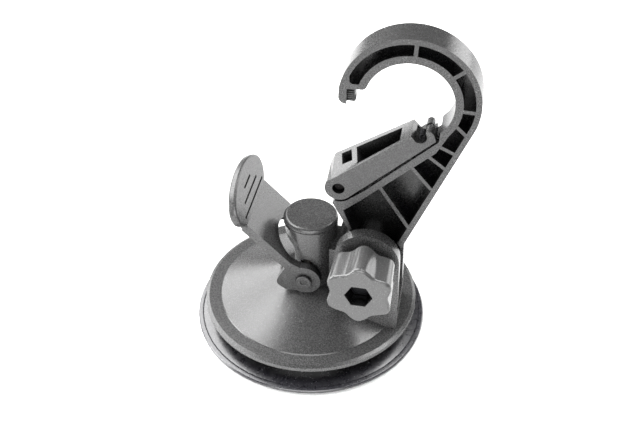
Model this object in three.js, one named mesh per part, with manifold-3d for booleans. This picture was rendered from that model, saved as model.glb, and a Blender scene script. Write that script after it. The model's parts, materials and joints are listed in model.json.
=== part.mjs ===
// Suction-cup mount with a ring clamp on a tilting hook arm.
// Millimetres, +Z up. The origin is the cup's centre on the surface that it stands on.
// -Y is the front, where the clamp knob is, and the arm stands on the +X side.

import * as THREE from "three";
import { mergeVertices } from "three/addons/utils/BufferGeometryUtils.js";
import Module from "manifold-3d";

const wasm = await Module();
wasm.setup();

// ---------- Driving dimensions ----------

const DEG = Math.PI / 180;
const GAP = 0.3;

// Base: film, cup and housing, all round about the Z axis.
const FILM_RADIUS = 45.8;
const FILM_THICKNESS = 0.35;
const CUP_RADIUS = 45;
const CUP_EDGE = 1.6;
const CUP_BEAD_TOP = 8;
const FLANGE_RADIUS = 41.4;
const FLANGE_BOTTOM = 8.3;
const FLANGE_TOP = 10.8;
const CONE_FOOT_RADIUS = 35.3;
const CONE_TOP = 21;
const CONE_TOP_RADIUS = 12.4;
const POST_RADIUS = 10.2;
const POST_TOP = 47.4;
const POST_BORE = 5;
const RELIEF_RADIUS = 6.2;
const CAP_TOP = 49.3;
const SHOULDER_BOTTOM = 19.1;
const SHOULDER_TOP = 21.4;

// Cam lever, on an axle that runs along Y through the post.
const AXLE_Z = 28;
const AXLE_RADIUS = 2.4;
const AXLE_REACH = 14.6;
const LEVER_LEAN = 44.5;
const LEVER_LIFT = 4.6;
const LEVER_HEEL = 6.2;
const LEVER_FORK = 10.7;
const LEVER_HALF_WIDTH = 13.8;
const LEVER_THICKNESS = 3.6;
const LEVER_LENGTH = 31.4;
const PADDLE_BEND = 26.6;
const PADDLE_THICKNESS = 3.1;
const PADDLE_HALF_WIDTH = 18.3;
const PADDLE_MIDDLE = 6.3;
const PADDLE_CROWN = 9.2;

// Clamp joint, on a bolt that runs along Y through the bracket and the arm.
const CLAMP_X = 23.2;
const CLAMP_Z = 42.8;
const EAR_RADIUS = 11.9;
const EAR_FRONT = -15.5;
const EAR_BACK = 5;
const SLOT_FRONT = -11.3;
const SLOT_BACK = 0.3;
const SLOT_FLOOR = 20;
const BRACKET_RIGHT = 35.8;
const BRACKET_LEFT = 8.6;
const WEB_TOP = 40.8;
const TOOTH_COUNT = 88;
const TOOTH_HEIGHT = 0.5;
const BOLT_RADIUS = 2.5;
const BOLT_HOLE = 2.75;
const HEX_FLATS = 8;
const KNOB_FRONT = -33.9;
const KNOB_BACK = -19.7;
const KNOB_RADIUS = 11.35;
const KNOB_WAVE = 1.1;
const KNOB_LOBES = 6;

// Hook arm: one plate with a ring at its upper end.
const ARM_FRONT = -10.6;
const ARM_BACK = 0;
const ARM_FLOOR = -2.2;
const RING_X = 34.1;
const RING_Z = 108;
const RING_OUTER = 23;
const RING_INNER = 14.6;
const BOSS_RADIUS = 9.6;
const BOSS_FACE = 6.8;
const EDGE_ANGLE = -21.1;

// Gate, on a pin that runs along Y at the arm's left shoulder.
const GATE_X = 11.8;
const GATE_Z = 70.7;
const GATE_ANGLE = 43.9;
const GATE_ROUND = 4.9;
const GATE_BODY = 34.3;
const GATE_LENGTH = 39.5;
const KNUCKLE_RADIUS = 3.9;
const KNUCKLE_FRONT = -7.9;
const KNUCKLE_BACK = -2.7;
const GATE_PIN_RADIUS = 1.9;
const LATCH_S = 32.6;
const LATCH_N = -2.2;
const BLOCK_BACK = -5.6;
const BLOCK_TOP = -0.6;
const NOTCH_S = 36.4;

// ---------- Geometry helpers ----------

const at = (x, z) => new THREE.Vector2(x, z);

function arc(x, z, radius, from, to, steps) {
  return Array.from({ length: steps + 1 }, (_, i) => {
    const angle = (from + ((to - from) * i) / steps) * DEG;
    return at(x + radius * Math.cos(angle), z + radius * Math.sin(angle));
  });
}

// A closed geometry becomes a solid that can be joined and cut.
function solid(geometry) {
  const bare = geometry.index ? geometry.toNonIndexed() : geometry.clone();
  bare.deleteAttribute("normal");
  bare.deleteAttribute("uv");
  const merged = mergeVertices(bare, 1e-4);
  const triangles = [];
  for (let i = 0; i < merged.index.count; i += 3) {
    const [a, b, c] = [0, 1, 2].map((k) => merged.index.getX(i + k));
    if (a !== b && b !== c && c !== a) triangles.push(a, b, c);
  }
  return new wasm.Manifold(
    new wasm.Mesh({
      numProp: 3,
      vertProperties: Float32Array.from(merged.attributes.position.array),
      triVerts: Uint32Array.from(triangles),
    })
  );
}

// An outline in the XZ plane, as a plate from front to back along Y.
function plate(points, front, back) {
  const geometry = new THREE.ExtrudeGeometry(new THREE.Shape(points), {
    depth: back - front,
    bevelEnabled: false,
  });
  geometry.rotateX(Math.PI / 2);
  geometry.translate(0, back, 0);
  return solid(geometry);
}

// Outlines of equal length at several places along Y, joined into one closed skin.
function loft(outlines) {
  const sections = outlines.map(({ y, points }) => ({
    y,
    points: THREE.ShapeUtils.isClockWise(points) ? points.toReversed() : points,
  }));
  const count = sections[0].points.length;
  const positions = sections.flatMap(({ y, points }) => points.flatMap((p) => [p.x, y, p.y]));
  const triangles = [];
  for (let s = 0; s + 1 < sections.length; s += 1) {
    for (let i = 0; i < count; i += 1) {
      const a = s * count + i;
      const b = s * count + ((i + 1) % count);
      triangles.push(a, a + count, b, b, a + count, b + count);
    }
  }
  const last = (sections.length - 1) * count;
  for (const [a, b, c] of THREE.ShapeUtils.triangulateShape(sections[0].points, [])) {
    triangles.push(a, b, c);
  }
  for (const [a, b, c] of THREE.ShapeUtils.triangulateShape(sections.at(-1).points, [])) {
    triangles.push(last + a, last + c, last + b);
  }
  const geometry = new THREE.BufferGeometry();
  geometry.setAttribute("position", new THREE.Float32BufferAttribute(positions, 3));
  geometry.setIndex(triangles);
  return solid(geometry);
}

function turned(profile, segments = 64) {
  const geometry = new THREE.LatheGeometry(profile.map(([r, z]) => at(r, z)), segments);
  geometry.rotateX(Math.PI / 2);
  return solid(geometry);
}

function rod(radius, front, back, x, z, segments = 24) {
  const geometry = new THREE.CylinderGeometry(radius, radius, back - front, segments);
  geometry.translate(x, (front + back) / 2, z);
  return solid(geometry);
}

function block(x0, x1, y0, y1, z0, z1) {
  const geometry = new THREE.BoxGeometry(x1 - x0, y1 - y0, z1 - z0);
  geometry.translate((x0 + x1) / 2, (y0 + y1) / 2, (z0 + z1) / 2);
  return solid(geometry);
}

// A hexagonal bar along Y with one corner at the left and one at the right.
function hexagon(flats, front, back, x, z) {
  const geometry = new THREE.CylinderGeometry(flats / Math.sqrt(3), flats / Math.sqrt(3), back - front, 6);
  geometry.rotateY(Math.PI / 6).translate(x, (front + back) / 2, z);
  return solid(geometry);
}

function ring(outer, inner, front, back, x, z) {
  return rod(outer, front, back, x, z).subtract(rod(inner, front - 1, back + 1, x, z));
}

function coil(radius, wire, turns, pitch, stepsPerTurn = 10) {
  const steps = Math.round(turns * stepsPerTurn);
  const points = Array.from({ length: steps + 1 }, (_, i) => {
    const angle = (i / stepsPerTurn) * 2 * Math.PI;
    return new THREE.Vector3(radius * Math.cos(angle), radius * Math.sin(angle), (i / stepsPerTurn) * pitch);
  });
  const section = new THREE.Shape(arc(0, 0, wire, 0, 360, 6).slice(0, 6));
  const path = new THREE.CatmullRomCurve3(points);
  return new THREE.ExtrudeGeometry(section, { extrudePath: path, steps });
}

// A flat ring about Y whose one face is cut into radial teeth. side is +1 for teeth that point to +Y.
function crown(outer, inner, base, side, x, z) {
  const columns = 2 * TOOTH_COUNT;
  const foot = base - side * 0.4;
  const positions = [];
  for (let i = 0; i < columns; i += 1) {
    const angle = (i / columns) * 2 * Math.PI;
    const crest = base + (i % 2) * side * TOOTH_HEIGHT;
    for (const [radius, y] of [[inner, foot], [outer, foot], [outer, crest], [inner, crest]]) {
      positions.push(x + radius * Math.cos(angle), y, z + radius * Math.sin(angle));
    }
  }
  const triangles = [];
  for (let i = 0; i < columns; i += 1) {
    for (let k = 0; k < 4; k += 1) {
      const a = 4 * i + k;
      const b = 4 * i + ((k + 1) % 4);
      const c = 4 * ((i + 1) % columns) + k;
      const d = 4 * ((i + 1) % columns) + ((k + 1) % 4);
      if (side > 0) triangles.push(a, b, c, b, d, c);
      else triangles.push(a, c, b, b, c, d);
    }
  }
  const geometry = new THREE.BufferGeometry();
  geometry.setAttribute("position", new THREE.Float32BufferAttribute(positions, 3));
  geometry.setIndex(triangles);
  return solid(geometry);
}

// ---------- Materials ----------

const finish = (color, roughness, metalness) => (
  new THREE.MeshStandardMaterial({ color, roughness, metalness })
);
const plastic = () => finish(0x2a2a2c, 0.5, 0);
const knobPlastic = () => finish(0x3a3a3c, 0.5, 0);
const steel = () => finish(0xb4b6ba, 0.35, 1);
const blackSteel = () => finish(0x303033, 0.45, 1);
const rubber = () => finish(0x17161c, 0.35, 0);
const nylon = () => finish(0xcfccc4, 0.55, 0);
const clearFilm = () => new THREE.MeshStandardMaterial({
  color: 0xe8ecf0,
  roughness: 0.15,
  transparent: true,
  opacity: 0.35,
});

const model = new THREE.Group();

function add(name, body, material, parent = model) {
  const mesh = body.getMesh();
  const geometry = new THREE.BufferGeometry();
  geometry.setAttribute("position", new THREE.Float32BufferAttribute(mesh.vertProperties, 3));
  geometry.setIndex(Array.from(mesh.triVerts));
  geometry.computeVertexNormals();
  const node = new THREE.Mesh(geometry, material);
  node.name = name;
  parent.add(node);
}

// ---------- Film and suction cup ----------

// The film under the cup is one disc with a rounded pull tab at the left.
function protectiveFilm() {
  const tabAngle = 185.5;
  const tabReach = 8.7;
  const tabWidth = 14.5;
  const tab = new THREE.Shape();
  const root = FILM_RADIUS - 3;
  const tip = FILM_RADIUS + tabReach;
  const corner = 6.2;
  tab.moveTo(root, -tabWidth / 2);
  tab.lineTo(tip - corner, -tabWidth / 2);
  tab.absarc(tip - corner, -tabWidth / 2 + corner, corner, -Math.PI / 2, 0, false);
  tab.absarc(tip - corner, tabWidth / 2 - corner, corner, 0, Math.PI / 2, false);
  tab.lineTo(root, tabWidth / 2);
  const geometry = new THREE.ExtrudeGeometry(tab, {
    depth: FILM_THICKNESS,
    bevelEnabled: false,
    curveSegments: 4,
  });
  geometry.rotateZ(tabAngle * DEG);
  const disc = turned([[0, 0], [FILM_RADIUS, 0], [FILM_RADIUS, FILM_THICKNESS], [0, FILM_THICKNESS]]);
  return disc.add(solid(geometry));
}

// The soft cup: a wide lip, a bead that carries the flange, and a shallow seat for the core disc.
// The bead's outer wall leans in towards its foot, which leaves a deep groove under the flange.
function suctionCup() {
  const foot = FILM_THICKNESS + 0.05;
  return turned([
    [0, 1],
    [28, 0.6],
    [34, foot],
    [CUP_RADIUS - 0.4, foot],
    [CUP_RADIUS, foot + 0.4],
    [CUP_RADIUS, CUP_EDGE],
    [CUP_RADIUS - 0.4, CUP_EDGE + 0.4],
    [CUP_RADIUS - 1.7, CUP_EDGE + 0.6],
    [CUP_RADIUS - 2, CUP_EDGE + 0.5],
    [39.4, 2.9],
    [36.9, 3.3],
    [36.3, 3.9],
    [38, CUP_BEAD_TOP - 0.5],
    [37.5, CUP_BEAD_TOP],
    [35.8, CUP_BEAD_TOP],
    [34, 3.7],
    [15.2, 3.5],
    [14.5, 1.8],
    [0, 1.8],
  ]);
}

// The stiff disc bonded into the cup, with the socket that the stem is fixed in.
const DISC_BOTTOM = 1.95;
const DISC_TOP = 3.9;
const SOCKET_RADIUS = 4.9;

function coreDisc() {
  return turned([
    [0, DISC_BOTTOM],
    [14, DISC_BOTTOM],
    [14, 3],
    [8, DISC_TOP],
    [SOCKET_RADIUS, DISC_TOP],
    [SOCKET_RADIUS, 7.5],
    [3.9, 7.5],
    [3.9, 2.9],
    [0, 2.9],
  ], 40);
}

// The stem runs up the post. Its head carries the axle and rests above the shoulder.
function stem() {
  const body = turned([
    [0, 3.2],
    [3.6, 3.2],
    [3.6, 22],
    [POST_BORE - GAP, 22],
    [POST_BORE - GAP, 33.2],
    [POST_BORE - 1.1, 34],
    [0, 34],
  ], 32);
  return body.subtract(rod(AXLE_RADIUS + 0.15, -8, 8, 0, AXLE_Z));
}

function returnSpring() {
  const turns = 5.5;
  const wire = 0.6;
  const bottom = DISC_TOP + GAP + wire;
  const top = SHOULDER_BOTTOM - GAP - wire;
  const geometry = coil(6.2, wire, turns, (top - bottom) / turns);
  geometry.translate(0, 0, bottom);
  return solid(geometry);
}

// ---------- Housing ----------

// The outline of both bracket ears: an arch about the clamp axis on straight legs.
function earOutline(foot) {
  return [
    at(CLAMP_X - EAR_RADIUS, foot),
    at(BRACKET_RIGHT, foot),
    ...arc(CLAMP_X, CLAMP_Z, EAR_RADIUS, 0, 180, 24),
  ];
}

function bracket() {
  const foot = FLANGE_TOP - 1;
  const front = plate(earOutline(foot), EAR_FRONT, SLOT_FRONT);
  const back = plate(earOutline(foot), SLOT_BACK, EAR_BACK);
  const floor = block(CLAMP_X - EAR_RADIUS, BRACKET_RIGHT, EAR_FRONT, EAR_BACK, foot, SLOT_FLOOR);
  const web = block(BRACKET_LEFT, CLAMP_X - EAR_RADIUS + 0.8, -9, EAR_BACK, foot, WEB_TOP);
  const teeth = crown(EAR_RADIUS - 0.1, 5, SLOT_FRONT, 1, CLAMP_X, CLAMP_Z);
  return front.add(back).add(floor).add(web).add(teeth);
}

// The post is slimmer on its left half, where the lever stands, and flares out again under its top.
function postRelief() {
  const floor = CONE_TOP + 0.1;
  const flareFrom = 32;
  const flareTo = 43;
  const lip = 9.6;
  const flare = Array.from({ length: 9 }, (_, i) => {
    const t = i / 8;
    const ease = t * t * (3 - 2 * t);
    return [RELIEF_RADIUS + (lip - RELIEF_RADIUS) * ease, flareFrom + (flareTo - flareFrom) * t];
  });
  const shell = turned([
    [RELIEF_RADIUS, floor],
    [14, floor],
    [14, POST_TOP - 0.8],
    [lip, POST_TOP - 0.8],
    ...flare.reverse(),
    [RELIEF_RADIUS, floor],
  ]);
  const leftPart = plate([
    at(1, floor - 1),
    at(-4.1, POST_TOP + 1),
    at(-20, POST_TOP + 1),
    at(-20, floor - 1),
  ], -20, 20);
  return shell.intersect(leftPart);
}

function baseHousing() {
  const bevel = 0.6;
  const step = 0.35;
  const skin = turned([
    [0, FLANGE_BOTTOM],
    [FLANGE_RADIUS - step, FLANGE_BOTTOM],
    [FLANGE_RADIUS, FLANGE_BOTTOM + step],
    [FLANGE_RADIUS, FLANGE_TOP - bevel],
    [FLANGE_RADIUS - 2 * bevel, FLANGE_TOP],
    [CONE_FOOT_RADIUS + step, FLANGE_TOP],
    [CONE_FOOT_RADIUS, FLANGE_TOP + step],
    [CONE_TOP_RADIUS, CONE_TOP],
    [POST_RADIUS, CONE_TOP + 0.2],
    [POST_RADIUS, POST_TOP],
    [0, POST_TOP],
  ]);
  const hollow = turned([
    [0, 5],
    [34.6, 5],
    [34.6, 8.8],
    [11, SHOULDER_BOTTOM],
    [0, SHOULDER_BOTTOM],
  ]);
  const bore = turned([[0, SHOULDER_TOP], [POST_BORE, SHOULDER_TOP], [POST_BORE, 60], [0, 60]], 32);
  const stemHole = turned([[0, 15], [4.2, 15], [4.2, 25], [0, 25]], 24);
  const slotRadius = AXLE_RADIUS + 0.35;
  const axleSlot = plate([
    ...arc(0, AXLE_Z, slotRadius, 180, 360, 12),
    ...arc(0, AXLE_Z + LEVER_LIFT, slotRadius, 0, 180, 12),
  ], -20, 12);
  const boltHole = rod(BOLT_HOLE, -20, 10, CLAMP_X, CLAMP_Z);
  const headPocket = hexagon(HEX_FLATS + 0.6, EAR_BACK - 2.2, 10, CLAMP_X, CLAMP_Z);
  return skin
    .add(bracket())
    .subtract(postRelief())
    .subtract(hollow)
    .subtract(bore)
    .subtract(stemHole)
    .subtract(axleSlot)
    .subtract(boltHole)
    .subtract(headPocket);
}

function postCap() {
  const round = 1.5;
  const edge = arc(POST_RADIUS - round, CAP_TOP - round, round, 0, 90, 5).map((p) => [p.x, p.y]);
  return turned([
    [0, POST_TOP - 5],
    [POST_BORE - 0.6, POST_TOP - 5],
    [POST_BORE - GAP, POST_TOP - 4.6],
    [POST_BORE - GAP, POST_TOP + 0.15],
    [POST_RADIUS, POST_TOP + 0.15],
    ...edge,
    [0, CAP_TOP],
  ], 48);
}

// ---------- Cam lever, drawn upright on its axle and then leaned back ----------

function camLever() {
  const half = LEVER_THICKNESS / 2;

  // Two side cheeks: a round heel about the axle with a cam toe at the back.
  const cheekOutline = [
    ...arc(0, 0, LEVER_HEEL, -160, 60, 18),
    at(half, 9),
    at(half, 16),
    at(-half, 16),
    at(-half, 8.6),
    at(-6.1, 7.2),
    ...arc(-7.4, 4.2, 2.3, 110, 200, 5),
    ...arc(-7, 2, 2.3, 200, 240, 3),
  ];
  const cheeks = plate(cheekOutline, -LEVER_HALF_WIDTH, -LEVER_FORK)
    .add(plate(cheekOutline, LEVER_FORK, LEVER_HALF_WIDTH));

  // The leaf between cheeks and paddle, with a round-ended fork that lets the post through.
  const bend = PADDLE_BEND * DEG;
  const overlap = (LEVER_THICKNESS - PADDLE_THICKNESS * Math.cos(bend)) / Math.sin(bend);
  const backCorner = LEVER_LENGTH + PADDLE_THICKNESS * Math.sin(bend) - overlap * Math.cos(bend);
  const leaf = plate(
    [at(-half, 8), at(half, 8), at(half, LEVER_LENGTH), at(-half, backCorner)],
    -LEVER_HALF_WIDTH,
    LEVER_HALF_WIDTH
  );
  const forkEnd = 19.2;
  const forkShape = new THREE.Shape();
  forkShape.moveTo(-LEVER_FORK, 0);
  forkShape.lineTo(LEVER_FORK, 0);
  forkShape.absarc(0, forkEnd - LEVER_FORK, LEVER_FORK, 0, Math.PI, false);
  const forkGeometry = new THREE.ExtrudeGeometry(forkShape, {
    depth: 20,
    bevelEnabled: false,
    curveSegments: 12,
  });
  forkGeometry.rotateX(Math.PI / 2).rotateZ(Math.PI / 2).translate(-10, 0, 0);

  return cheeks
    .add(leaf.subtract(solid(forkGeometry)))
    .add(thumbPaddle(overlap - 0.1).rotate([0, PADDLE_BEND, 0]).translate([half, 0, LEVER_LENGTH]))
    .subtract(rod(AXLE_RADIUS + 0.15, -20, 20, 0, 0));
}

// The thumb paddle: an oval plate whose front face is the plane x = 0, with three grip grooves.
function thumbPaddle(root) {
  const round = 0.8;
  const shoulder = 14.2;
  const shape = new THREE.Shape();
  shape.moveTo(-LEVER_HALF_WIDTH, -root);
  shape.lineTo(LEVER_HALF_WIDTH, -root);
  shape.lineTo(shoulder, 0);
  shape.quadraticCurveTo(PADDLE_HALF_WIDTH, 2.2, PADDLE_HALF_WIDTH, PADDLE_MIDDLE);
  shape.absellipse(0, PADDLE_MIDDLE, PADDLE_HALF_WIDTH, PADDLE_CROWN, 0, Math.PI, false, 0);
  shape.quadraticCurveTo(-PADDLE_HALF_WIDTH, 2.2, -shoulder, 0);
  const geometry = new THREE.ExtrudeGeometry(shape, {
    depth: PADDLE_THICKNESS - 2 * round,
    bevelThickness: round,
    bevelSize: round,
    bevelOffset: -round,
    bevelSegments: 2,
    curveSegments: 8,
  });
  geometry.translate(0, 0, round - PADDLE_THICKNESS).rotateX(Math.PI / 2).rotateZ(Math.PI / 2);
  const grooves = [[2.3, 12.8], [6, 8.7], [9.7, 4.2]];
  return grooves.reduce(
    (body, [height, reach]) => body.subtract(block(-0.5, 1, -reach, reach, height - 0.45, height + 0.45)),
    solid(geometry)
  );
}

function leverAxle() {
  const face = -AXLE_REACH - 0.6;
  const head = rod(AXLE_RADIUS + 0.4, face, -LEVER_HALF_WIDTH - GAP, 0, 0);
  const dimple = rod(1.3, face - 1, face + 0.5, 0, 0);
  return head.add(rod(AXLE_RADIUS, -AXLE_REACH, AXLE_REACH + 1, 0, 0)).subtract(dimple);
}

function axleClip() {
  return ring(3.8, AXLE_RADIUS + 0.15, LEVER_HALF_WIDTH + GAP, LEVER_HALF_WIDTH + 1.1, 0, 0);
}

// ---------- Clamp joint ----------

function lobedOutline(inset, points = 72) {
  return Array.from({ length: points }, (_, i) => {
    const angle = (i / points) * 2 * Math.PI;
    const wave = Math.cos(KNOB_LOBES * (angle - Math.PI / 2));
    const radius = KNOB_RADIUS + KNOB_WAVE * wave - inset;
    return at(CLAMP_X + radius * Math.cos(angle), CLAMP_Z + radius * Math.sin(angle));
  });
}

function clampKnob() {
  const grip = loft([
    { y: KNOB_FRONT, points: lobedOutline(0.9) },
    { y: KNOB_FRONT + 0.3, points: lobedOutline(0.35) },
    { y: KNOB_FRONT + 0.9, points: lobedOutline(0) },
    { y: KNOB_BACK - 0.6, points: lobedOutline(0.5) },
    { y: KNOB_BACK, points: lobedOutline(1) },
  ]);
  const hub = rod(7, KNOB_BACK - 0.5, EAR_FRONT - 1.9, CLAMP_X, CLAMP_Z, 32);
  const pocket = hexagon(HEX_FLATS + 0.5, KNOB_FRONT - 1, -24, CLAMP_X, CLAMP_Z);
  return grip.add(hub).subtract(pocket).subtract(rod(BOLT_HOLE, -40, 0, CLAMP_X, CLAMP_Z));
}

function clampWasher() {
  return ring(5, BOLT_HOLE, EAR_FRONT - 1.5, EAR_FRONT - GAP, CLAMP_X, CLAMP_Z);
}

function clampBolt() {
  const headFace = EAR_BACK - 2.2 + GAP;
  const head = hexagon(HEX_FLATS, headFace, headFace + 3.5, CLAMP_X, CLAMP_Z);
  return head.add(rod(BOLT_RADIUS, -29.3, headFace + 1, CLAMP_X, CLAMP_Z));
}

function knobNut() {
  return hexagon(HEX_FLATS, -28.4, -24.3, CLAMP_X, CLAMP_Z)
    .subtract(rod(BOLT_HOLE, -30, -20, CLAMP_X, CLAMP_Z));
}

// ---------- Hook arm ----------

// The gate's own axes: s runs along it from its pin, n is square to it, away from the arm.
const along = (s, n) => at(
  GATE_X + s * Math.cos(GATE_ANGLE * DEG) - n * Math.sin(GATE_ANGLE * DEG),
  GATE_Z + s * Math.sin(GATE_ANGLE * DEG) + n * Math.cos(GATE_ANGLE * DEG)
);
const SEAT = -5.6;
const SEAT_END = 40.2;

function armOutline() {
  return [
    ...arc(RING_X, RING_Z, RING_OUTER, 171, EDGE_ANGLE, 40),
    ...arc(CLAMP_X, CLAMP_Z, BOSS_RADIUS, EDGE_ANGLE, -230, 20),
    at(9.7, 64.3),
    ...arc(GATE_X, GATE_Z, -SEAT, -104, GATE_ANGLE - 90, 8),
    along(7, SEAT - 0.5),
    along(SEAT_END, SEAT),
    ...arc(RING_X, RING_Z, RING_INNER, -43, 162, 36),
    at(19.7, 111.8),
    at(19, 111.4),
  ];
}

// The recess in the arm's front: a channel round the ring and a panel down to the boss,
// both crossed by ribs.
function armRecess() {
  const inner = RING_INNER + 2.6;
  const outer = RING_OUTER - 1.9;
  const edge = BOSS_RADIUS - 2.2;
  const edgeFoot = arc(CLAMP_X, CLAMP_Z, edge, EDGE_ANGLE, EDGE_ANGLE, 1)[0];
  const channel = [
    ...arc(RING_X, RING_Z, outer, 158, EDGE_ANGLE, 32),
    edgeFoot,
    at(18.7, 47.9),
    at(17.7, 51),
    at(13.7, 61.3),
    along(2.4, SEAT - 2.8),
    along(36.6, SEAT - 2.8),
    ...arc(RING_X, RING_Z, inner, -38, 162, 28),
    at(17.2, 113.2),
    at(15.6, 113.2),
    at(14.7, 113.8),
  ];
  let recess = plate(channel, ARM_FRONT - 1, ARM_FLOOR);
  const ribs = [
    [at(26.3, 73.2), at(38, 55.4), 1.3],
    [at(36.2, 83.5), at(43.6, 74.8), 1.2],
    [at(41, 88.9), at(48, 83.6), 1.2],
    [at(43.6, 93.4), at(50.4, 90.2), 1.2],
    [at(48.4, 102.4), at(54.2, 97), 1.2],
  ];
  for (const angle of [-3, 39.5, 87.3]) {
    const radial = (radius) => arc(RING_X, RING_Z, radius, angle, angle, 1)[0];
    ribs.push([radial(inner - 1), radial(outer + 1), 1.3]);
  }
  for (const [from, to, width] of ribs) {
    const side = to.clone().sub(from).normalize().multiplyScalar(width / 2);
    const across = at(-side.y, side.x);
    recess = recess.subtract(plate([
      from.clone().sub(across),
      to.clone().sub(across),
      to.clone().add(across),
      from.clone().add(across),
    ], ARM_FRONT - 2, 0));
  }
  return recess.subtract(rod(BOSS_FACE, ARM_FRONT - 2, 1, CLAMP_X, CLAMP_Z, 32));
}

// The hook's tongue: the ring's outer wall carried on to a rounded tip, and beside it a set-back strip
// with ratchet teeth across it.
function hookTongue() {
  const wall = 13.8;
  const right = 16.8;
  const tip = 105.5;
  const strip = -8.4;
  const stripTop = 109.2;
  const outline = [
    at(11.3, 112),
    at(11.1, tip + 2.3),
    at(11.5, tip + 1.1),
    at(12.4, tip + 0.35),
    at(wall, tip),
    at(right - 0.6, tip),
    at(right - 0.1, tip + 0.8),
    at(right, 112),
  ];
  const setBack = block(wall, right + 1, ARM_FRONT - 1, strip, tip - 1, stripTop + 0.1);
  const hollow = block(wall, right - 0.5, ARM_FRONT - 1, strip + 1.2, stripTop, 111.2);
  const pitch = 0.75;
  let tongue = plate(outline, ARM_FRONT, -6.2).subtract(setBack).subtract(hollow);
  for (let z = tip + 0.5; z < stripTop - pitch; z += pitch) {
    tongue = tongue.add(block(wall - 0.1, right - 0.3, strip - 0.4, strip + 0.1, z, z + pitch / 2));
  }
  return tongue;
}

function hookArm() {
  const knuckle = rod(KNUCKLE_RADIUS, KNUCKLE_FRONT, KNUCKLE_BACK, GATE_X, GATE_Z)
    .add(plate([at(10.1, 70), at(10.4, 62.5), at(15, 63.6), at(13.6, 70)], KNUCKLE_FRONT, KNUCKLE_BACK));
  const front = ARM_FRONT + TOOTH_HEIGHT;
  return plate(armOutline(), ARM_FRONT, ARM_BACK)
    .add(knuckle)
    .add(hookTongue())
    .subtract(armRecess())
    .subtract(rod(EAR_RADIUS + 0.4, ARM_FRONT - 2, front, CLAMP_X, CLAMP_Z, 40))
    .add(crown(BOSS_FACE, 4.6, front, -1, CLAMP_X, CLAMP_Z))
    .subtract(rod(BOLT_HOLE, -20, 10, CLAMP_X, CLAMP_Z))
    .subtract(rod(GATE_PIN_RADIUS + 0.15, -20, 10, GATE_X, GATE_Z, 24));
}

// ---------- Gate, drawn along +X from its pin and then turned into place ----------

function gate() {
  const outline = (shoulder, heel) => [
    ...arc(0, 0, GATE_ROUND, 270, 100, 16),
    at(...shoulder),
    at(...heel),
    at(GATE_BODY, 1.6),
    at(GATE_BODY, -GATE_ROUND),
  ];
  const body = loft([
    { y: ARM_FRONT, points: outline([0.6, 4.5], [4, 4.1]) },
    { y: ARM_BACK, points: outline([-1.6, 5.2], [3, 7.4]) },
  ]);
  const ledge = block(GATE_BODY - 1, GATE_LENGTH, ARM_FRONT, ARM_BACK, -GATE_ROUND, -4.1);
  const endBlock = plate([
    at(GATE_BODY - 1, -GATE_ROUND),
    at(GATE_LENGTH, -GATE_ROUND),
    at(GATE_LENGTH + 1.2, -2.4),
    at(GATE_LENGTH + 1, -1),
    at(GATE_LENGTH + 0.4, BLOCK_TOP),
    at(GATE_BODY - 1, BLOCK_TOP),
  ], ARM_FRONT, BLOCK_BACK);
  const wall = 1.5;
  const longPocket = block(11.6, 29.6, ARM_FRONT + wall, ARM_BACK - wall, -3.4, 12);
  const shortPocket = plate([at(5.6, 2), at(9.6, 0), at(9.6, 12), at(5.6, 12)], -6.4, ARM_BACK - wall);
  const knuckleSlot = block(-8, 4.5, KNUCKLE_FRONT - GAP, KNUCKLE_BACK + GAP, -8, 4.2);
  const latchSlot = block(30.7, GATE_BODY + 1, -5.4, -1, -3.9, -0.3);
  return body
    .add(ledge)
    .add(endBlock)
    .subtract(longPocket)
    .subtract(shortPocket)
    .subtract(knuckleSlot)
    .subtract(latchSlot)
    .subtract(rod(2.3, ARM_FRONT - 1, BLOCK_BACK + 0.2, NOTCH_S, BLOCK_TOP))
    .subtract(rod(0.95, -9.6, -0.5, LATCH_S, LATCH_N, 16))
    .subtract(rod(2.2, ARM_FRONT - 1, -1, 0, 0, 24));
}

// The pawl: a flat lever behind the end block, with a rounded thumb tab.
function latchPawl() {
  const front = BLOCK_BACK + 0.6;
  const back = -1.4;
  const hub = rod(1.5, front, back, LATCH_S, LATCH_N, 20);
  const arm = plate([
    at(LATCH_S, LATCH_N - 0.7),
    at(38.8, LATCH_N - 0.7),
    at(38.8, LATCH_N + 0.7),
    at(LATCH_S, LATCH_N + 0.7),
  ], front, back);
  const tab = rod(1.45, front, back, 39.2, -1.7, 20);
  return arm.add(hub).add(tab).subtract(rod(0.9, -10, 0, LATCH_S, LATCH_N, 16));
}

function latchSpring() {
  const geometry = coil(0.95, 0.22, 4, 0.95);
  geometry.rotateX(-Math.PI / 2).translate(NOTCH_S, ARM_FRONT + 1.2, BLOCK_TOP - 0.9);
  return solid(geometry);
}

// ---------- Assembly ----------

add("protective_film", protectiveFilm(), clearFilm());
add("suction_cup", suctionCup(), rubber());
add("core_disc", coreDisc(), nylon());
add("stem", stem(), nylon());
add("return_spring", returnSpring(), steel());
add("base_housing", baseHousing(), plastic());
add("post_cap", postCap(), plastic());

const leverGroup = new THREE.Group();
leverGroup.position.set(0, 0, AXLE_Z);
model.add(leverGroup);
add("lever_axle", leverAxle(), steel(), leverGroup);
add("axle_clip", axleClip(), steel(), leverGroup);
const leaned = new THREE.Group();
leaned.rotation.y = -LEVER_LEAN * DEG;
leverGroup.add(leaned);
add("cam_lever", camLever(), plastic(), leaned);

add("clamp_knob", clampKnob(), knobPlastic());
add("knob_nut", knobNut(), blackSteel());
add("clamp_bolt", clampBolt(), blackSteel());
add("clamp_washer", clampWasher(), steel());
add("hook_arm", hookArm(), plastic());

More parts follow.
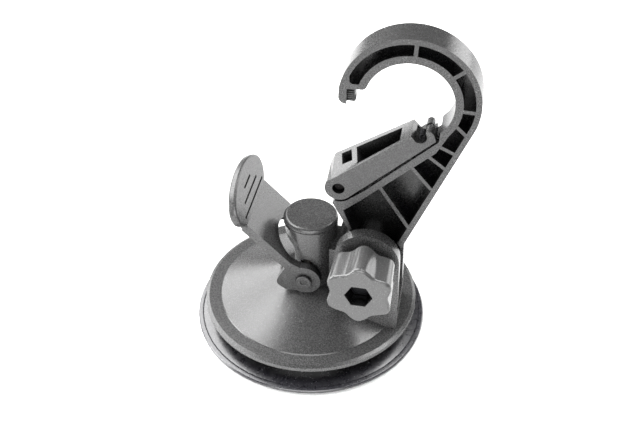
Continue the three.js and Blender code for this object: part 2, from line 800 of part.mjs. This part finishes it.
const gateGroup = new THREE.Group();
gateGroup.position.set(GATE_X, 0, GATE_Z);
gateGroup.rotation.y = -GATE_ANGLE * DEG;
model.add(gateGroup);
add("gate", gate(), plastic(), gateGroup);
add("gate_pin", rod(GATE_PIN_RADIUS, -8.7, -1.4, 0, 0, 24), blackSteel(), gateGroup);
add("latch_pawl", latchPawl(), plastic(), gateGroup);
add("latch_pin", rod(0.7, -9.4, -0.8, LATCH_S, LATCH_N, 12), steel(), gateGroup);
add("latch_spring", latchSpring(), steel(), gateGroup);

export default model;
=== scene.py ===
"""Looks for a suction cup mount with a tilting ring arm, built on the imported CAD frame.

Lengths are in metres in the row frame: +Z up, -Y the front, the arm on the +X side.
"""

import json
import math

import bmesh
import bpy
from mathutils import Matrix, Vector


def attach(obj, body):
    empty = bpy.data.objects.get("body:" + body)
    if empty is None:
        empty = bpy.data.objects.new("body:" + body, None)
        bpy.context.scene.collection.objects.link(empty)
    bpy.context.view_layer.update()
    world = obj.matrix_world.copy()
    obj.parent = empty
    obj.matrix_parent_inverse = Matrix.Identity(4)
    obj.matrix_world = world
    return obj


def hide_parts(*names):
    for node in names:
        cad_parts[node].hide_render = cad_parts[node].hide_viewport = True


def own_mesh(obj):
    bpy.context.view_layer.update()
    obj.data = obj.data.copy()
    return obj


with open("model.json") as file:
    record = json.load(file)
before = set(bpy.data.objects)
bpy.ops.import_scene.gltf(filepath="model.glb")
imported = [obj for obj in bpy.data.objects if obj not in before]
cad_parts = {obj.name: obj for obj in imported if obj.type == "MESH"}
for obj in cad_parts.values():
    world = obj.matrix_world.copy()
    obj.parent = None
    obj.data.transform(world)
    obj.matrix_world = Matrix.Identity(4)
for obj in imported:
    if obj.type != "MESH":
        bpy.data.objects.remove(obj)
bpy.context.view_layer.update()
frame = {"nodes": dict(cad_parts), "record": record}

MM = 0.001
BODIES = frame["record"]["behaviour"]["bodies"]
BODY_OF = {node: body for body, members in BODIES.items() for node in members}

# How the CAD triangles are cleaned, and which edges are rounded and shaded sharp.
WELD_DISTANCE = 0.002 * MM
FLAT_ANGLE = math.radians(0.7)
ROUNDED_ANGLE = math.radians(20)
SMOOTH_ANGLE = math.radians(35)
EDGE_SEGMENTS = 2
FLAT_FACE_WEIGHT = 80

# ---------- Material nodes ----------

BLACK = (0, 0, 0)
WHITE = (1, 1, 1)
PLASTIC_DUST = (0.36, 0.36, 0.36)
RUBBER_DUST = (0.3, 0.3, 0.32)

# Sizes of the plastics' surface detail: mottling, dust specks, wear and spark texture.
MOTTLE_SIZE = 0.0004
SPECK_SIZE = 0.0004
WEAR_SIZE = 0.0005
GRAIN_SIZE = 0.00042
GLOSS_RANGE = 0.08

# Painted shade: ambient occlusion below the first value counts as a closed hollow and gets the
# deepest painted shade, above the second as open and gets none.
HOLLOW_AT, OPEN_AT = 0.38, 0.8
OCCLUSION_SAMPLES = 8

# How far a normal rises, between a face that counts as upright and one that counts as level, for the
# painted light on upright faces.
UPRIGHT_RISE, LEVEL_RISE = 0.1, 0.6


def new_material(name):
    material = bpy.data.materials.new(name)
    material.use_nodes = True
    nodes = material.node_tree.nodes
    return material, nodes, material.node_tree.links, nodes["Principled BSDF"]


def noise(nodes, links, coords, size, detail=2.0, roughness=0.5):
    """Noise whose lumps are about size metres across."""
    node = nodes.new("ShaderNodeTexNoise")
    node.inputs["Scale"].default_value = 1 / size
    node.inputs["Detail"].default_value = detail
    node.inputs["Roughness"].default_value = roughness
    links.new(coords.outputs["Object"], node.inputs["Vector"])
    return node.outputs["Fac"]


def ramp(nodes, links, source, stops):
    """A colour ramp over source, with stops as (position, (r, g, b))."""
    node = nodes.new("ShaderNodeValToRGB")
    elements = node.color_ramp.elements
    for element, (position, color) in zip(elements, stops, strict=True):
        element.position = position
        element.color = (*color, 1)
    links.new(source, node.inputs["Fac"])
    return node.outputs["Color"]


def spread(nodes, links, source, low, high, start=0.0, end=1.0):
    """source between start and end, mapped to low and high."""
    node = nodes.new("ShaderNodeMapRange")
    values = {"From Min": start, "From Max": end, "To Min": low, "To Max": high}
    for name, value in values.items():
        node.inputs[name].default_value = value
    links.new(source, node.inputs["Value"])
    return node.outputs["Result"]


def blend(nodes, links, factor, first, second):
    """From first to second as factor rises. Each is a colour or an output."""
    mix = nodes.new("ShaderNodeMix")
    mix.data_type = "RGBA"
    links.new(factor, mix.inputs["Factor"])
    for name, color in (("A", first), ("B", second)):
        if isinstance(color, tuple):
            mix.inputs[name].default_value = (*color, 1)
        else:
            links.new(color, mix.inputs[name])
    return mix.outputs["Result"]


def bump(nodes, links, shader, source, strength, depth):
    """Relief from source, depth metres high."""
    node = nodes.new("ShaderNodeBump")
    node.inputs["Strength"].default_value = strength
    node.inputs["Distance"].default_value = depth
    links.new(source, node.inputs["Height"])
    links.new(node.outputs["Normal"], shader.inputs["Normal"])


def painted_crevice_shade(nodes, links, source, darkest, reach=0.02):
    """Painted shade: source darkened by ambient occlusion in pockets and close gaps, down to the
    share darkest.
    """
    shade = nodes.new("ShaderNodeAmbientOcclusion")
    shade.samples = OCCLUSION_SAMPLES
    shade.inputs["Distance"].default_value = reach
    factor = spread(nodes, links, shade.outputs["AO"], darkest, 1, HOLLOW_AT, OPEN_AT)
    return blend(nodes, links, factor, BLACK, source)


def painted_side_light(nodes, links, source, gain):
    """Painted light: source multiplied by gain on upright faces, which stands in for the light that
    falls on them.
    """
    geometry = nodes.new("ShaderNodeNewGeometry")
    split = nodes.new("ShaderNodeSeparateXYZ")
    links.new(geometry.outputs["Normal"], split.inputs["Vector"])
    rise = nodes.new("ShaderNodeMath")
    rise.operation = "ABSOLUTE"
    links.new(split.outputs["Z"], rise.inputs[0])
    factor = spread(nodes, links, rise.outputs["Value"], gain, 1, UPRIGHT_RISE, LEVEL_RISE)
    scaled = nodes.new("ShaderNodeVectorMath")
    scaled.operation = "SCALE"
    links.new(source, scaled.inputs["Vector"])
    links.new(factor, scaled.inputs["Scale"])
    return scaled.outputs["Vector"]


# ---------- Materials ----------


def moulded_plastic(
    name, shade, gloss, depth=0.000014, dust=0.5, grit=0.5, hollow_shade=0.04, tint=WHITE, side_light_gain=1, ior=1.55
):
    """Satin dark plastic: fine spark texture, slight mottling, a little pale dust, painted shade in
    pockets and gaps, and painted light on upright faces where asked for.
    """
    material, nodes, links, shader = new_material(name)
    coords = nodes.new("ShaderNodeTexCoord")
    base = [shade * share for share in tint]
    mottle = noise(nodes, links, coords, MOTTLE_SIZE, 2, 0.6)
    color = ramp(nodes, links, mottle, [
        (0.35, [channel * (1 - grit) for channel in base]),
        (0.65, [channel * (1 + grit) for channel in base]),
    ])
    # Painted light: upright faces get a paler colour, as if more light fell on them.
    if side_light_gain != 1:
        color = painted_side_light(nodes, links, color, side_light_gain)
    specks = noise(nodes, links, coords, SPECK_SIZE, 1)
    dusty = spread(nodes, links, specks, 0, dust, 0.68, 0.8)
    color = blend(nodes, links, dusty, color, PLASTIC_DUST)
    # Painted shade: the colour is darkened in pockets and close gaps.
    color = painted_crevice_shade(nodes, links, color, hollow_shade)
    links.new(color, shader.inputs["Base Color"])
    wear = noise(nodes, links, coords, WEAR_SIZE, 2)
    rough = spread(nodes, links, wear, gloss - GLOSS_RANGE, gloss + GLOSS_RANGE, 0.3, 0.7)
    links.new(rough, shader.inputs["Roughness"])
    bump(nodes, links, shader, noise(nodes, links, coords, GRAIN_SIZE, 3, 0.65), 0.8, depth)
    shader.inputs["IOR"].default_value = ior
    return material


def soft_rubber():
    """Satin grey-black soft PVC with a faint violet cast, smears and dust, and painted shade in its
    recesses.
    """
    material, nodes, links, shader = new_material("cup_soft_pvc")
    coords = nodes.new("ShaderNodeTexCoord")
    color = ramp(nodes, links, noise(nodes, links, coords, 0.0005, 3, 0.7), [
        (0.3, (0.004, 0.004, 0.006)),
        (0.7, (0.03, 0.029, 0.037)),
    ])
    # Painted shade: the cup's colour is darkened in its recesses, such as under the flange.
    color = painted_crevice_shade(nodes, links, color, 0.02, 0.012)
    specks = noise(nodes, links, coords, 0.00045, 2)
    dusty = spread(nodes, links, specks, 0, 0.6, 0.66, 0.74)
    links.new(blend(nodes, links, dusty, color, RUBBER_DUST), shader.inputs["Base Color"])
    smears = noise(nodes, links, coords, 0.002, 5)
    links.new(spread(nodes, links, smears, 0.22, 0.42, 0.3, 0.75), shader.inputs["Roughness"])
    bump(nodes, links, shader, noise(nodes, links, coords, 0.0008, 3), 0.6, 0.000012)
    shader.inputs["IOR"].default_value = 1.53
    shader.inputs["Coat Weight"].default_value = 0.75
    shader.inputs["Coat Roughness"].default_value = 0.2
    return material


def clear_film():
    """Thin clear release film, slightly rippled."""
    material, nodes, links, shader = new_material("clear_film")
    coords = nodes.new("ShaderNodeTexCoord")
    ripple = noise(nodes, links, coords, 0.008, 3)
    bump(nodes, links, shader, ripple, 0.5, 0.0001)
    links.new(spread(nodes, links, ripple, 0.06, 0.2), shader.inputs["Roughness"])
    shader.inputs["Base Color"].default_value = (0.93, 0.94, 0.95, 1)
    shader.inputs["Alpha"].default_value = 0.1
    return material


def steel(name, color, roughness):
    """Drawn steel with faint turning marks."""
    material, nodes, links, shader = new_material(name)
    coords = nodes.new("ShaderNodeTexCoord")
    marks = noise(nodes, links, coords, 0.0005, 4)
    shades = [(0.3, [channel * 0.85 for channel in color]), (0.7, color)]
    links.new(ramp(nodes, links, marks, shades), shader.inputs["Base Color"])
    rough = spread(nodes, links, marks, roughness - 0.06, roughness + 0.1, 0.3, 0.7)
    links.new(rough, shader.inputs["Roughness"])
    shader.inputs["Metallic"].default_value = 1
    return material


def nylon():
    """Natural nylon, off-white and faintly translucent."""
    material, nodes, links, shader = new_material("natural_nylon")
    coords = nodes.new("ShaderNodeTexCoord")
    color = ramp(nodes, links, noise(nodes, links, coords, 0.004, 3), [
        (0.3, (0.55, 0.53, 0.48)),
        (0.7, (0.66, 0.64, 0.58)),
    ])
    links.new(color, shader.inputs["Base Color"])
    shader.inputs["Roughness"].default_value = 0.5
    shader.inputs["Subsurface Weight"].default_value = 0.1
    shader.inputs["Subsurface Scale"].default_value = 0.002
    return material


# The housing's upright faces get painted light, 1.45 times paler, and its pockets milder painted
# shade.
HOUSING = moulded_plastic(
    "housing_plastic_look", shade=0.041, gloss=0.27, depth=0.00002, hollow_shade=0.45, side_light_gain=1.45
)
LEVER = moulded_plastic("lever_plastic_look", shade=0.048, gloss=0.3, grit=0.35)
KNOB = moulded_plastic(
    "knob_plastic_look", shade=0.07, gloss=0.2, depth=0.000006, dust=0.25, grit=0.15
)
ARM = moulded_plastic("arm_plastic_look", shade=0.032, gloss=0.28, depth=0.00001, grit=0.35)
# Painted shade: the gate pin's near-black colour stands for the shade inside its hole.
PIN_PAINTED_SHADE = moulded_plastic("pin_plastic_painted_shade", shade=0.006, gloss=0.6, tint=(1, 0.6, 0.6), ior=1.25)
RUBBER = soft_rubber()
FILM = clear_film()
STEEL = steel("plain_steel", (0.56, 0.56, 0.57), roughness=0.3)
BLACK_STEEL = steel("black_oxide_steel", (0.02, 0.02, 0.022), roughness=0.45)
NYLON = nylon()


# ---------- Fine pieces from the CAD nodes ----------


def clean_copy(node):
    """The node's mesh as a bmesh with whole flat faces instead of triangles."""
    work = bmesh.new()
    work.from_mesh(frame["nodes"][node].data)
    bmesh.ops.remove_doubles(work, verts=work.verts, dist=WELD_DISTANCE)
    bmesh.ops.dissolve_limit(
        work, angle_limit=FLAT_ANGLE, verts=work.verts, edges=work.edges,
        use_dissolve_boundaries=False,
    )
    return work


def rounded_copy(node, width):
    """A clean copy of the node's mesh with its sharp edges rounded."""
    work = clean_copy(node)
    work.normal_update()
    edges = [
        edge for edge in work.edges
        if len(edge.link_faces) == 2 and edge.calc_face_angle(0) > ROUNDED_ANGLE
    ]
    bmesh.ops.bevel(
        work, geom=edges, offset=width, offset_type="OFFSET", segments=EDGE_SEGMENTS,
        profile=0.5, affect="EDGES", clamp_overlap=True, harden_normals=False,
    )
    return work


def add_piece(node, work, material):
    """The piece that stands for a node, on the node's body and in its material slot."""
    name = node + "_fine"
    mesh = bpy.data.meshes.new(name)
    work.to_mesh(mesh)
    work.free()
    mesh.materials.clear()
    mesh.materials.append(material)
    mesh.shade_smooth()
    mesh.set_sharp_from_angle(angle=SMOOTH_ANGLE)
    piece = bpy.data.objects.new(name, mesh)
    bpy.context.scene.collection.objects.link(piece)
    weights = piece.modifiers.new("flat_faces_stay_flat", "WEIGHTED_NORMAL")
    weights.keep_sharp = True
    weights.weight = FLAT_FACE_WEIGHT
    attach(piece, BODY_OF[node])
    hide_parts(node)
    return piece


# Each node's material, and how wide its edges are rounded, in millimetres.
FINISH = {
    "protective_film": (FILM, 0.1),
    "suction_cup": (RUBBER, 0.15),
    "core_disc": (NYLON, 0.15),
    "stem": (NYLON, 0.2),
    "base_housing": (HOUSING, 0.4),
    "post_cap": (HOUSING, 0.2),
    "lever_axle": (LEVER, 0.25),
    "axle_clip": (STEEL, 0.1),
    "cam_lever": (LEVER, 0.4),
    "clamp_knob": (KNOB, 0.3),
    "knob_nut": (BLACK_STEEL, 0.2),
    "clamp_bolt": (BLACK_STEEL, 0.2),
    "clamp_washer": (STEEL, 0.1),
    "hook_arm": (ARM, 0.4),
    "gate": (ARM, 0.35),
    "gate_pin": (PIN_PAINTED_SHADE, 0.2),
    "latch_pawl": (LEVER, 0.15),
    "latch_pin": (STEEL, 0.1),
}

for node, (material, width) in FINISH.items():
    add_piece(node, rounded_copy(node, width * MM), material)

# The latch spring's wire has no edges to round, so its CAD mesh stays.
latch_spring = frame["nodes"]["latch_spring"].data
latch_spring.materials.clear()
latch_spring.materials.append(BLACK_STEEL)

# The return spring is pressed together as the lever draws the core disc up; here it gets a piece and
# a mesh of its own, at rest.
return_spring = add_piece("return_spring", clean_copy("return_spring"), STEEL)
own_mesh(return_spring)

# ---------- Floor, light and camera ----------

FLOOR_RADIUS = 0.9
FLOOR_CORNERS = 96
FLOOR_DROP = 0.0002
FLOOR_SHADE = (0.9, 0.9, 0.9)

# Where each softbox stands, the point that it faces, its size, and its power in watts.
SOFTBOXES = {
    "big_left": ((-0.67, 0.42, 0.72), (0, 0, 0.03), (0.8, 1.15), 21),
    "high_right": ((0.36, 0.22, 0.84), (0, 0, 0.03), (0.5, 0.5), 8),
    "upper_left": ((-0.5, 0.08, 0.88), (0, 0, 0.03), (0.4, 0.4), 2.4),
    "left_card": ((-0.92, -0.16, 0.36), (0, 0, 0.03), (0.5, 0.5), 10),
    "low_back_right": ((0.72, 0.9, 0.25), (0, 0, 0.06), (0.6, 0.45), 3.7),
    "front_fill": ((0.1, -1.1, 0.6), (0, 0, 0), (1.2, 0.8), 19.5),
}

BACKDROP_SEEN = 1.0
BACKDROP_CAST = 0.12

LENS = 52.95
CAMERA_PLACE = (0.0522, -0.26505, 0.2706)
CAMERA_RIGHT = (0.98295, 0.18384, 0.00363)
CAMERA_FORWARD = (-0.13994, 0.76072, -0.63381)


def floor():
    """A pale disc of paper, just under the part."""
    mesh = bpy.data.meshes.new("floor")
    angles = [2 * math.pi * corner / FLOOR_CORNERS for corner in range(FLOOR_CORNERS)]
    rim = [(FLOOR_RADIUS * math.cos(angle), FLOOR_RADIUS * math.sin(angle), 0) for angle in angles]
    mesh.from_pydata(rim, [], [range(FLOOR_CORNERS)])
    material, nodes, links, shader = new_material("floor_paper")
    shader.inputs["Base Color"].default_value = (*FLOOR_SHADE, 1)
    shader.inputs["Roughness"].default_value = 0.7
    mesh.materials.append(material)
    disc = bpy.data.objects.new("floor", mesh)
    disc.location.z = -FLOOR_DROP
    bpy.context.scene.collection.objects.link(disc)


def softbox(name, location, target, size, power):
    data = bpy.data.lights.new(name, "AREA")
    data.shape = "RECTANGLE"
    data.size, data.size_y = size
    data.energy = power
    lamp = bpy.data.objects.new(name, data)
    lamp.location = location
    lamp.rotation_mode = "QUATERNION"
    lamp.rotation_quaternion = (Vector(target) - Vector(location)).to_track_quat("-Z", "Y")
    bpy.context.scene.collection.objects.link(lamp)


def backdrop():
    """A world that looks pale but casts only a little light of its own."""
    world = bpy.data.worlds.new("studio")
    bpy.context.scene.world = world
    world.use_nodes = True
    nodes = world.node_tree.nodes
    links = world.node_tree.links
    cast = nodes["Background"]
    seen = nodes.new("ShaderNodeBackground")
    for shader, strength in ((cast, BACKDROP_CAST), (seen, BACKDROP_SEEN)):
        shader.inputs["Color"].default_value = (*WHITE, 1)
        shader.inputs["Strength"].default_value = strength
    ray = nodes.new("ShaderNodeLightPath")
    mix = nodes.new("ShaderNodeMixShader")
    links.new(ray.outputs["Is Camera Ray"], mix.inputs["Fac"])
    links.new(cast.outputs["Background"], mix.inputs[1])
    links.new(seen.outputs["Background"], mix.inputs[2])
    links.new(mix.outputs["Shader"], nodes["World Output"].inputs["Surface"])


def camera():
    data = bpy.data.cameras.new("camera")
    data.sensor_width = 36
    data.lens = LENS
    data.clip_start = 0.01
    data.clip_end = 20
    shooter = bpy.data.objects.new("camera", data)
    forward = Vector(CAMERA_FORWARD).normalized()
    up = Vector(CAMERA_RIGHT).normalized().cross(forward)
    right = forward.cross(up)
    turn = Matrix((right, up, -forward)).transposed().to_4x4()
    shooter.matrix_world = Matrix.Translation(CAMERA_PLACE) @ turn
    bpy.context.scene.collection.objects.link(shooter)
    bpy.context.scene.camera = shooter


floor()
backdrop()
for name, settings in SOFTBOXES.items():
    softbox(name, *settings)
camera()
bpy.context.scene.view_settings.view_transform = "Standard"
